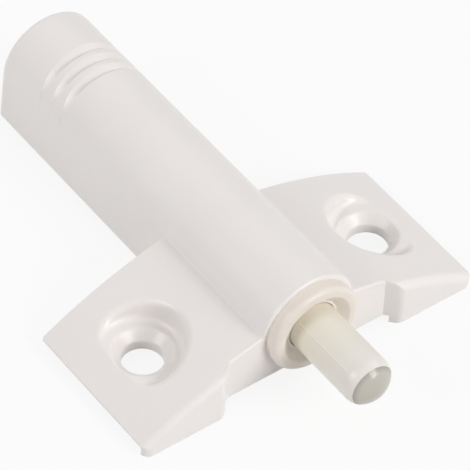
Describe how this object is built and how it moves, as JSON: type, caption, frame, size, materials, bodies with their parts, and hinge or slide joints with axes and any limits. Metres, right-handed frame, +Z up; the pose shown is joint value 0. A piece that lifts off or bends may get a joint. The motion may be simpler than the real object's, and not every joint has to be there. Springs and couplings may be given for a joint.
{
  "type": "cabinet door bumper",
  "caption": "Soft-close cabinet door bumper: a sprung oil damper with a soft domed tip, held in the tube of a crowned screw-on cross bracket with dished screw holes.",
  "frame": {"origin": "on the mounting face, midway between the two screw holes", "axes": "+Z up from the mounting face along the screws, +X from one screw hole to the other, +Y along the tube to its closed end; the plunger points to -Y, towards the door"},
  "size_m": [0.0464, 0.0648, 0.0135],
  "materials": {
    "housing": "moulded white, satin gloss",
    "barrel": "moulded cream acetal",
    "plunger": "moulded off-white acetal",
    "tip": "smooth grey elastomer",
    "spring_steel": "drawn spring wire",
    "steel": "stamped, bright",
    "rod_steel": "ground and polished",
    "bush": "natural acetal",
    "seal": "black nitrile",
    "foam": "closed-cell foam",
    "disc": "moulded acetal",
    "piston": "moulded nylon",
    "plug": "moulded acetal"
  },
  "bodies": {
    "bracket": {"housing": "housing", "barrel": "barrel", "return_spring": "spring_steel", "spring_washer": "steel", "guide_bush": "bush", "rod_seal": "seal", "backing_washer": "steel", "compensation_foam": "foam", "divider_disc": "disc", "end_plug": "plug", "plug_seal": "seal"},
    "push_rod": {"plunger": "plunger", "tip_pad": "tip", "piston_rod": "rod_steel", "piston": "piston", "piston_ring": "seal", "valve_disc": "steel", "rod_clip": "spring_steel"}
  },
  "joints": [
    {"name": "plunger_slide", "type": "slide", "parent": "bracket", "child": "push_rod", "axis": [0, 1, 0], "range_m": [0, 0.0105], "stiffness_N_per_m": 150, "springref_m": -0.01, "deforming": ["return_spring"]}
  ]
}
